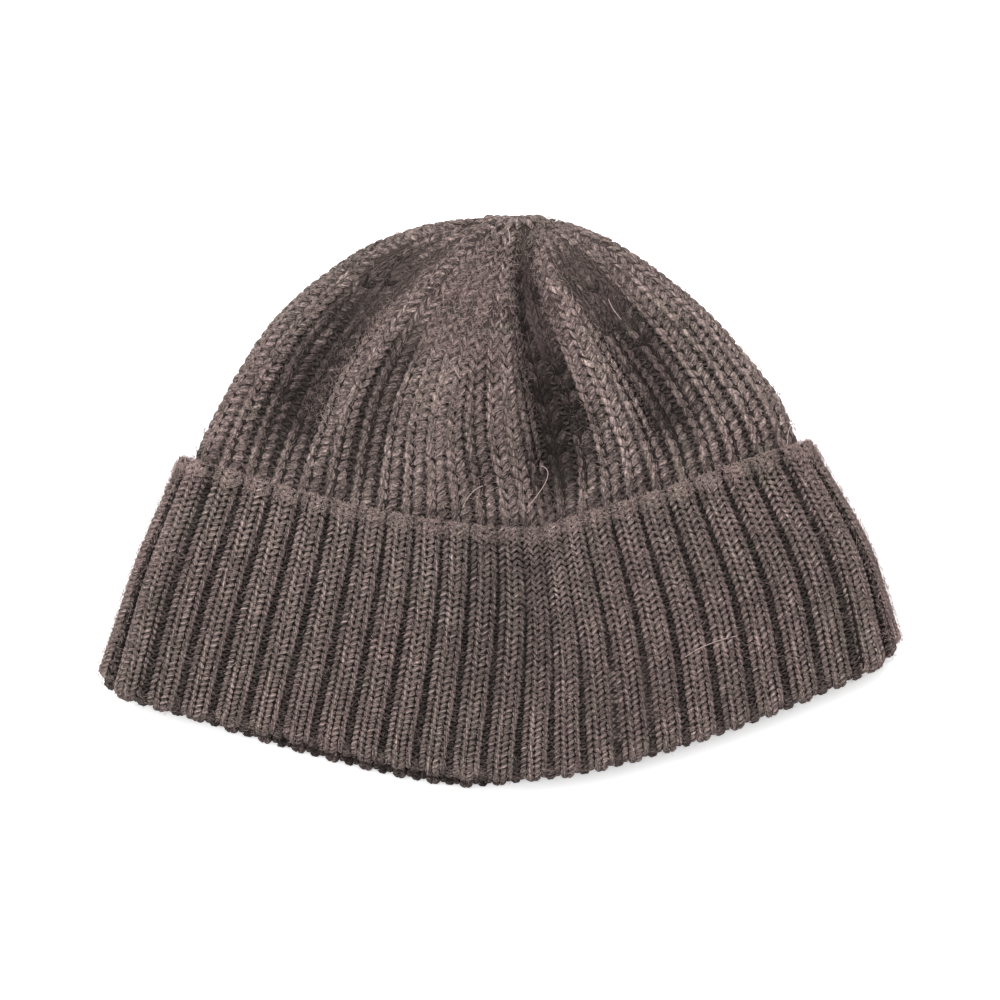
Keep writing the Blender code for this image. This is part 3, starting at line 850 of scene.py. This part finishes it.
def tube_shape(name, rings, sides, start_up, end_up):
    """A tube with pointed ends along Y from -0.5 to 0.5, with a yarn UV. It isn't linked to the scene."""
    points, places = [], []
    for ring in rings:
        for i in range(sides):
            angle = 2 * math.pi * i / sides
            across, up = ring.radius * math.cos(angle), ring.radius * math.sin(angle)
            points.append((across, ring.along, ring.up + up))
    points += [(0.0, -0.5, start_up), (0.0, 0.5, end_up)]
    start, end, last = len(points) - 2, len(points) - 1, (len(rings) - 1) * sides
    faces = []
    for i in range(sides):
        j = (i + 1) % sides
        faces.append((start, j, i))
        v, next_v, middle_v = i / sides, (i + 1) / sides, (i + 0.5) / sides
        places += [(0.0, middle_v), (rings[0].along + 0.5, next_v), (rings[0].along + 0.5, v)]
        for r in range(len(rings) - 1):
            low, high = r * sides, (r + 1) * sides
            faces.append((low + i, low + j, high + j, high + i))
            u, next_u = rings[r].along + 0.5, rings[r + 1].along + 0.5
            places += [(u, v), (u, next_v), (next_u, next_v), (next_u, v)]
        faces.append((last + i, last + j, end))
        places += [(rings[-1].along + 0.5, v), (rings[-1].along + 0.5, next_v), (1.0, middle_v)]
    mesh = bpy.data.meshes.new(name)
    mesh.from_pydata(points, [], [face[::-1] for face in faces])
    flipped, first = [], 0
    for face in faces:
        flipped += places[first:first + len(face)][::-1]
        first += len(face)
    mesh.uv_layers.new(name="yarn").data.foreach_set("uv", np.array(flipped, dtype=np.float32).ravel())
    volume = turn_outward(mesh, points)
    mesh.shade_smooth()
    print(name, "has", len(mesh.loop_triangles), "triangles, volume", round(volume, 3))
    return bpy.data.objects.new(name, mesh)


LEG_RINGS = (Ring(-0.37, -0.16, 0.34), Ring(-0.13, 0.03, 0.48), Ring(0.14, 0.04, 0.50),
             Ring(0.38, -0.12, 0.38))
SMALL_LEG_RINGS = (Ring(-0.28, -0.16, 0.42), Ring(0.04, 0.02, 0.49), Ring(0.34, 0.04, 0.40))
BAR_RINGS = (Ring(-0.25, 0.00, 0.46), Ring(0.25, 0.00, 0.46))
LEG = tube_shape("leg", LEG_RINGS, sides=6, start_up=-0.50, end_up=-0.45)
SMALL_LEG = tube_shape("small_leg", SMALL_LEG_RINGS, sides=5, start_up=-0.55, end_up=-0.20)
BAR = tube_shape("bar", BAR_RINGS, sides=4, start_up=-0.5, end_up=-0.5)

# %% [markdown]
# ## The cuff's stitches
# A rib of the cuff has two knit wales side by side. The four legs across a rib lie on a gentle arch, so the
# outer ones turn down into the grooves. The rows follow the band from behind the rim, over it, down to the
# fold, round it and a little way up the inner leaf, where the mouth shows them. Fewer marks could do for the
# back, but a cap is turned over in the hand, so the back is knitted like the front.

# %% Marks for the legs
random.seed(7)
CUFF_ROW = 0.00197
LEG_LEAN = math.radians(31)
CUFF_LEAN = math.radians(38)
MOST_SLOPE = 1.1
MOST_STRETCH = 1.5
# A painted highlight along the cuff's rolled rim.
PAINTED_RIM_HIGHLIGHT = 1.8
# Painted light on the two side ribs, which face away from the lamp overhead.
PAINTED_SIDE_LIGHT = 1.3


def jitter(amount):
    """1, give or take a random amount."""
    return 1 + random.uniform(-amount, amount)


def leg_mark(face, run, share, offset, lean, length, width, arch, tint):
    """A leg at an offset from its rib's middle, leaning by an angle, on an arch of that radius."""
    width *= jitter(0.10)
    middle = place_on(face, run, share)
    here = place_on(face, run, share + offset / length_of(middle.around))
    side = unit(np.cross(here.facing, here.along))
    if side @ here.around < 0:
        side = -side
    facing = unit(here.facing + side * max(-MOST_SLOPE, min(MOST_SLOPE, offset / arch)))
    along = unit(unit(here.along) * math.cos(lean) + side * math.sin(lean))
    drop = offset**2 / (2 * arch)
    stretch = min(length_of(here.along), MOST_STRETCH)
    point = here.point - here.facing * (drop + width * 0.5) + side * (random.uniform(-1, 1) * 0.00006)
    size = (width, length * stretch * jitter(0.08), width * 0.78)
    return Mark(point, facing, along, size, tint + max(-0.6, min(0.6, random.gauss(0, 0.25))))


def painted_side_light(share):
    """Painted light on the two ribs at the sides of the cap, which face sideways, away from the lamp overhead.
    """
    from_side = abs((share + 0.25) % 0.5 - 0.25)
    return PAINTED_SIDE_LIGHT * (1 - smooth_step(from_side, 0.008, 0.018))


def cuff_legs():
    """The marks of the cuff's legs, those of the front and those of the back."""
    front, back = [], []
    start = -LIP_TURN - 0.003
    rows = math.floor((STITCHED_TO - start) / CUFF_ROW)
    for rib in range(CUFF_RIBS):
        share = rib / CUFF_RIBS
        for row in range(rows):
            run = start + (row + 0.5) * CUFF_ROW + random.uniform(-1, 1) * 0.00008
            # Each stitch's own random tone, with painted fold shade and ridge light, a painted highlight on the
            # rim and painted light on the side ribs.
            tint = random.gauss(0, 0.3) + painted_fold_shading(CUFF_DEPTH - max(run, 0.0), share)
            tint += PAINTED_RIM_HIGHLIGHT * (1 - smooth_step(abs(run), 0.001, 0.004)) + painted_side_light(share)
            count, half = cuff_wales(place_on(cuff_face, run, share).around)
            for wale in range(count):
                for leg in (-1, 1):
                    offset = (2 * wale - count + 1 + leg * 0.5) * half
                    # Painted shade darkens the outer legs, which turn down into the grooves.
                    outer = -0.8 if abs(offset) > (count - 1) * half else -0.1
                    mark = leg_mark(cuff_face, run, share, offset, leg * CUFF_LEAN, CUFF_ROW * 1.72,
                                    half * 0.80, CUFF_RIB.arch, tint + outer)
                    (front if share < 0.5 else back).append(mark)
    return front, back


front_legs, back_legs = cuff_legs()
cuff_stitches_front = shape_on_marks("cuff_stitches_front", front_legs, SMALL_LEG, STITCH_WOOL, 0.10, seed=3)
cuff_stitches_back = shape_on_marks("cuff_stitches_back", back_legs, SMALL_LEG, STITCH_WOOL, 0.10, seed=4)

# %% Purl bars in the cuff's grooves


def cuff_bars():
    """The marks of the purl bars: each loop shows two strands across the groove, slanting up and down."""
    marks = []
    rows = math.floor((FOLDED + 0.010) / CUFF_ROW * 2)
    for rib in range(CUFF_RIBS):
        for row in range(rows):
            share, run = (rib + 0.5) / CUFF_RIBS, (row + 0.5) * CUFF_ROW / 2
            here = place_on(cuff_face, run, share)
            count, half = cuff_wales(here.around)
            wide = max(length_of(here.around) / CUFF_RIBS - 2 * count * half, 0.0004) + 0.0016
            slant = (0.55 if row % 2 else -0.25) * random.uniform(0.5, 1.5)
            along = unit(here.around) + unit(here.along) * slant
            at_edge = smooth_step(run, LEAF - 0.003, LEAF + 0.004)
            at_edge *= 1 - smooth_step(run, LEAF + 0.012, LEAF + 0.018)
            spread = min(max(wide - 0.0022, 0.0) / 0.0024, 1.0)
            deep = (CUFF_GROOVE + 0.0009 * jitter(0.5)) * (1 - 0.15 * spread - 0.5 * at_edge)
            size = (0.00085 * jitter(0.3) * (1 + 0.5 * at_edge), wide * jitter(0.2), 0.0009)
            # Painted shade darkens the bars deep in the grooves, less where a groove is spread wide or runs
            # round the fold.
            tint = random.gauss(0, 0.4) - 4.9 + 2.4 * max(spread, at_edge)
            marks.append(Mark(here.point - here.facing * deep, here.facing, along, size, tint))
    return marks


cuff_purl = shape_on_marks("cuff_purl", cuff_bars(), BAR, STITCH_WOOL, wobble=0.12, seed=5)

# %% [markdown]
# ## The crown's stitches
# The crown is a single rib in thick yarn: one knit wale, one purl wale. Towards the tip the knitter works two
# wales together, twice over, so 52 wales become 26 and then 13. Here a pair of wales draws together over a
# few rows, each a little earlier or later than its neighbour, and then goes on as one.

# %% Marks for the crown
CROWN_ROW = 0.00335
Decrease = namedtuple("Decrease", "start end")
DECREASES = (Decrease(0.60, 0.76), Decrease(0.85, 0.93))
LEAST_RISE = 0.9


def wale_at(wale, climb, stagger):
    """(share, room) of a wale at a climb of the crown, or None once its neighbour has taken it in."""
    step = 1 / CROWN_RIBS
    pair, four = wale // 2, wale // 4
    first = smooth_step(climb - stagger[pair], DECREASES[0].start, DECREASES[0].end)
    second = smooth_step(climb - stagger[four], DECREASES[1].start, DECREASES[1].end)
    of_pair, of_four = (2 * pair + 0.5) * step, (4 * four + 1.5) * step
    if first < 0.55:
        return of_pair + (wale % 2 - 0.5) * step * (1 - first), step * (1 - 0.6 * first)
    if wale % 2 or (second >= 0.55 and wale % 4):
        return None
    if second < 0.55:
        return of_pair + (of_four - of_pair) * second, step * (1 + first) * (1 - 0.6 * second)
    return of_four, 2 * step * (1 + second)


def crown_legs():
    """The marks of the crown's legs, those of the front and those of the back."""
    front, back = [], []
    stagger = [random.uniform(-0.045, 0.045) for _ in range(CROWN_RIBS // 2)]
    for wale in range(CROWN_RIBS):
        height = CUFF_DEPTH - 0.008 + random.uniform(0, 0.001)
        while height < TIP_HEIGHT:
            found = wale_at(wale, (height - CUFF_DEPTH) / CROWN_HEIGHT, stagger)
            if not found:
                break
            middle, room = found
            here = place_on(crown_face, height, middle)
            rise = max(length_of(here.along), LEAST_RISE)
            folded_in = max(1, round(length_of(here.around) * room / CROWN_PITCH))
            for k in range(folded_in):
                share = middle + ((k + 0.5) / folded_in - 0.5) * room
                pitch = length_of(place_on(crown_face, height, share).around) * room / folded_in
                half = max(half_wale(CROWN_RIB, pitch, CROWN_PITCH), 0.0011)
                # Each stitch's own random tone, with painted fold shade, painted ridge light and the rim's
                # painted shadow.
                tint = random.gauss(0, 0.5) + painted_fold_shading(height, share) + painted_rim_shadow(height)
                for leg in (-1, 1):
                    length = min(CROWN_ROW * 1.75, half * 3.0) / min(rise, MOST_STRETCH)
                    mark = leg_mark(crown_face, height, share, leg * half * 0.48, leg * LEG_LEAN, length,
                                    half * 0.80, max(CROWN_RIB.arch, half * 1.1), tint)
                    (front if share % 1.0 < 0.5 else back).append(mark)
            height += CROWN_ROW * jitter(0.08) / rise
    return front, back


def tip_legs(count):
    """The marks of the last stitches, drawn together over the tip."""
    marks = []
    for i in range(count):
        foot = place_on(crown_face, TIP_HEIGHT, i / count)
        inward = outer_pole - foot.point
        for t in (0.05, 0.35, 0.65, 0.95):
            point = foot.point + inward * t + np.array((0.0, 0.0006, 0.0))
            facing = unit(np.array((0.0, 1.0, 0.0)) + foot.facing * (1 - t))
            along = unit(inward + unit(np.cross(inward, facing)) * random.uniform(-0.004, 0.004))
            size = (0.0024 * jitter(0.2), 0.0050 * jitter(0.2), 0.0020)
            marks.append(Mark(point - facing * 0.0007, facing, along, size, random.gauss(0, 0.35)))
    return marks


front_legs, back_legs = crown_legs()
front_legs += tip_legs(14)
crown_stitches_front = shape_on_marks("crown_stitches_front", front_legs, LEG, STITCH_WOOL, 0.13, seed=6)
crown_stitches_back = shape_on_marks("crown_stitches_back", back_legs, LEG, STITCH_WOOL, 0.13, seed=7)

# %% Purl bars in the crown's grooves


def crown_bars():
    """The marks of the purl bars between the crown's wales, two slanting strands to a row."""
    marks = []
    for rib in range(CROWN_RIBS):
        height, slant = CUFF_DEPTH - 0.004, 0.4
        while height < CUFF_DEPTH + DECREASES[1].start * CROWN_HEIGHT:
            merged = (height - CUFF_DEPTH) / CROWN_HEIGHT > DECREASES[0].end
            if merged and rib % 2 == 0:
                break
            here = place_on(crown_face, height, (rib + 0.5) / CROWN_RIBS)
            slant = -slant
            along = unit(here.around) + unit(here.along) * (slant + random.uniform(-0.2, 0.2))
            size = (0.0012 * jitter(0.25), 0.0034 * jitter(0.1), 0.0013)
            # Painted shade darkens the bars deep in the grooves, with half the folds' painted shade and light.
            tint = random.gauss(0, 0.5) - 3.2 + painted_fold_shading(height, (rib + 0.5) / CROWN_RIBS) * 0.5
            point = here.point - here.facing * (CROWN_GROOVE + 0.0005)
            marks.append(Mark(point, here.facing, along, size, max(tint, -3.8)))
            height += CROWN_ROW / 2 / max(length_of(here.along), LEAST_RISE)
    return marks


crown_purl = shape_on_marks("crown_purl", crown_bars(), BAR, STITCH_WOOL, wobble=0.12, seed=9)

# %% [markdown]
# ## The haze of loose fibres
# Wool is never smooth. Fibre ends stand off every strand, soften the outline and catch the light. Each is a
# needle with three sides and a slight curve, set at random over the faces and leaning any way. A hair system
# would do it too, but the export keeps only meshes.

# %% A fibre, and marks for it
FIBRE = tube_shape("fibre", (Ring(0.0, 0.10, 0.5),), sides=3, start_up=-0.1, end_up=0.4)


def fibre_marks(face, low, high, first, last, count, length, thickness):
    """Marks spread evenly at random over a face, from run low to high and share first to last."""
    ribs = CUFF_RIBS if face == cuff_face else CROWN_RIBS
    marks = []
    while len(marks) < count:
        run, share = random.uniform(low, high), random.uniform(first, last)
        here = place_on(face, run, share)
        if random.random() > length_of(here.around) / 0.55:
            continue
        turn = random.uniform(0, 2 * math.pi)
        side = unit(np.cross(here.facing, here.along))
        flat = unit(here.along) * math.cos(turn) + side * math.sin(turn)
        lift = abs(random.gauss(0, 0.35))
        long = length * random.uniform(0.5, 1.4)
        along = unit(flat + here.facing * lift)
        facing = unit(here.facing - along * (here.facing @ along) + along * 1e-4)
        point = here.point + along * long * 0.4 + here.facing * random.uniform(-0.0004, 0.0002)
        from_groove = abs(share * ribs % 1.0 - 0.5)
        height = CUFF_DEPTH - max(run, 0.0) if face == cuff_face else run
        # The fibres take the painted fold shade and ridge light, painted shade near the grooves, the rim's
        # painted shadow on the crown, and painted light on the cuff's side ribs and rim.
        tint = random.gauss(0.3, 0.6) + painted_fold_shading(height, share)
        tint -= 3.2 * (1 - smooth_step(from_groove, 0.05, 0.17))
        tint += painted_rim_shadow(run) if face == crown_face else painted_side_light(share) + 0.9 * (run < 0.003)
        marks.append(Mark(point, facing, along, (thickness, long, thickness), max(tint, DARKEST)))
    return marks


Haze = namedtuple("Haze", "face low high first last count length thickness")
HAZES = (
    Haze(cuff_face, -LIP_TURN, LEAF + FOLD_TURN * 0.3, -0.02, 0.52, 12000, 0.0022, 0.00013),
    Haze(cuff_face, -LIP_TURN - 0.001, 0.003, -0.02, 0.52, 6500, 0.0020, 0.00014),
    Haze(crown_face, CUFF_DEPTH, TIP_HEIGHT, -0.02, 0.52, 9500, 0.0028, 0.00013),
    Haze(cuff_face, 0.0, LEAF, -0.02, 0.016, 1000, 0.0022, 0.00014),
    Haze(cuff_face, 0.0, LEAF, 0.484, 0.52, 1000, 0.0022, 0.00014),
)
front_fibres = [mark for haze in HAZES for mark in fibre_marks(*haze)]
fibres_front = shape_on_marks("fibres_front", front_fibres, FIBRE, FIBRE_WOOL, wobble=0.2, seed=8)

# %% Denser patches of loose fibres, left of the middle and near the tip, lighter there through the fibres' painted highlight
PATCHES = (
    Haze(crown_face, 0.132, 0.172, 0.26, 0.35, 700, 0.0034, 0.00014),
    Haze(crown_face, 0.086, 0.132, 0.285, 0.325, 500, 0.0034, 0.00014),
    Haze(crown_face, 0.100, 0.140, 0.395, 0.425, 500, 0.0034, 0.00014),
    Haze(crown_face, 0.150, 0.174, 0.02, 0.48, 700, 0.0034, 0.00014),
)
patch_fibres = [mark for patch in PATCHES for mark in fibre_marks(*patch)]
felted_patches = shape_on_marks("felted_patches", patch_fibres, FIBRE, FIBRE_WOOL, wobble=0.2, seed=10)

# %% A few long stray hairs, at their places in the photograph
PIXEL = 0.3125 / 1000
PHOTO_MIDDLE = (500, 501.5)
HAIR_RADIUS = 0.00010
HAIR_TINT = 2.5
HAIR_STEPS = 10
HAIRS = (
    ((483, 486), (470, 490), (463, 508)),
    ((540, 466), (560, 470), (527, 507)),
    ((454, 367), (456, 374), (461, 380)),
    ((794, 423), (786, 424), (785, 445)),
    ((683, 655), (700, 641), (735, 634)),
    ((608, 300), (612, 312), (621, 320)),
    ((503, 222), (512, 232), (509, 246)),
)


def on_top(pixel, lift):
    """The point above a pixel of the photograph, lift over the cap's walls."""
    x, y = (pixel[0] - PHOTO_MIDDLE[0]) * PIXEL, (PHOTO_MIDDLE[1] - pixel[1]) * PIXEL
    hits = [wall.ray_cast(Vector((x, y, 0.2)), Vector((0, 0, -1))) for wall in (cuff_ground, crown_ground)]
    return Vector((x, y, max([place.z for hit, place, normal, face in hits if hit] + [0.01]) + lift))


def hair_points(start, bend, end):
    """A hair's points on a curve, high in its middle."""
    a, b, c = [on_top(pixel, lift) for pixel, lift in ((start, 0.0012), (bend, 0.0040), (end, 0.0012))]
    places = [i / HAIR_STEPS for i in range(HAIR_STEPS + 1)]
    return [a * (1 - t)**2 + b * 2 * t * (1 - t) + c * t**2 for t in places]


def hairs(name, curves):
    """The hairs as one mesh of thin tubes with closed ends."""
    points, faces = [], []
    for curve in curves:
        base = len(points)
        for i, point in enumerate(curve):
            forward = (curve[min(i + 1, HAIR_STEPS)] - curve[max(i - 1, 0)]).normalized()
            side = forward.cross(Vector((0, 0, 1))).normalized()
            up = side.cross(forward)
            for k in range(4):
                angle = math.pi * k / 2
                points.append(point + (side * math.cos(angle) + up * math.sin(angle)) * HAIR_RADIUS)
        for i in range(HAIR_STEPS):
            for k in range(4):
                a, b = base + i * 4 + k, base + i * 4 + (k + 1) % 4
                faces.append((a, b, b + 4, a + 4))
        last = base + 4 * HAIR_STEPS
        faces += [(base + 3, base + 2, base + 1, base), (last, last + 1, last + 2, last + 3)]
    mesh = bpy.data.meshes.new(name)
    mesh.from_pydata(points, [], faces)
    set_tints(mesh, [HAIR_TINT] * len(points))
    mesh.materials.append(FIBRE_WOOL)
    print(name, "has", len(curves), "hairs")
    return in_scene(name, mesh)


bpy.context.view_layer.update()
stray_hairs = hairs("stray_hairs", [hair_points(*hair) for hair in HAIRS])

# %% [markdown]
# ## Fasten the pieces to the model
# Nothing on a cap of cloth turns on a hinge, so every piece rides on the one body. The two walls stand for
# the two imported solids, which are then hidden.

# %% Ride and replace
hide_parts("crown")
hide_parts("cuff")
crown_pieces = (crown_ground, crown_stitches_front, crown_stitches_back, crown_purl,
                felted_patches, stray_hairs)
cuff_pieces = (cuff_ground, cuff_stitches_front, cuff_stitches_back, cuff_purl, fibres_front)
for piece in crown_pieces + cuff_pieces:
    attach(piece, "root")

# %% [markdown]
# ## Floor, light and camera
# The photograph looks straight down on a cap that lies on white paper, in soft light. A wide lamp overhead, a
# little towards the tip, gives the soft shadow under the lower edge. A weaker one lifts the left side, and an
# even sky fills the rest. The paper glows a little itself, because a lit studio sweep comes out nearly white.

# %% A pale floor
floor_mesh = bpy.data.meshes.new("floor")
FLOOR_HALF = 2.0
floor_corners = [(x * FLOOR_HALF, y * FLOOR_HALF, -0.0001) for x, y in ((-1, -1), (1, -1), (1, 1), (-1, 1))]
floor_mesh.from_pydata(floor_corners, [], [(0, 1, 2, 3)])
floor = in_scene("floor", floor_mesh)
paper = bpy.data.materials.new("paper")
paper.use_nodes = True
sockets = paper.node_tree.nodes["Principled BSDF"].inputs
for title, value in (("Base Color", (0.90, 0.90, 0.90, 1.0)), ("Roughness", 0.9),
                     ("Emission Color", (1.0, 1.0, 1.0, 1.0)), ("Emission Strength", 0.48)):
    sockets[title].default_value = value
floor_mesh.materials.append(paper)

# %% Soft light


def area_light(name, place, size, power):
    """A square lamp at a place, turned to the middle of the cap."""
    data = bpy.data.lights.new(name, "AREA")
    data.size = size
    data.energy = power
    lamp = in_scene(name, data)
    lamp.location = place
    lamp.rotation_euler = (-Vector(place)).to_track_quat("-Z", "Y").to_euler()


area_light("key", (-0.02, 0.34, 1.20), size=0.8, power=26.5)
area_light("fill", (-0.60, 0.25, 1.00), size=0.8, power=6.0)
world = bpy.data.worlds.new("sky")
world.use_nodes = True
world.node_tree.nodes["Background"].inputs["Color"].default_value = (1.0, 1.0, 1.0, 1.0)
world.node_tree.nodes["Background"].inputs["Strength"].default_value = 0.16
bpy.context.scene.world = world
bpy.context.scene.view_settings.view_transform = "Standard"

# %% The camera looks straight down
PHOTO_SPAN = 0.3125
CAMERA_HEIGHT = 1.5
CAMERA_FORWARD = 0.0005
FRAMED_LEVEL = 0.009
camera_data = bpy.data.cameras.new("camera")
camera_data.lens = camera_data.sensor_width * CAMERA_HEIGHT / PHOTO_SPAN
camera = in_scene("camera", camera_data)
camera.location = (0.0, CAMERA_FORWARD, CAMERA_HEIGHT + FRAMED_LEVEL)
bpy.context.scene.camera = camera
print("lens in millimetres:", round(camera_data.lens, 1))
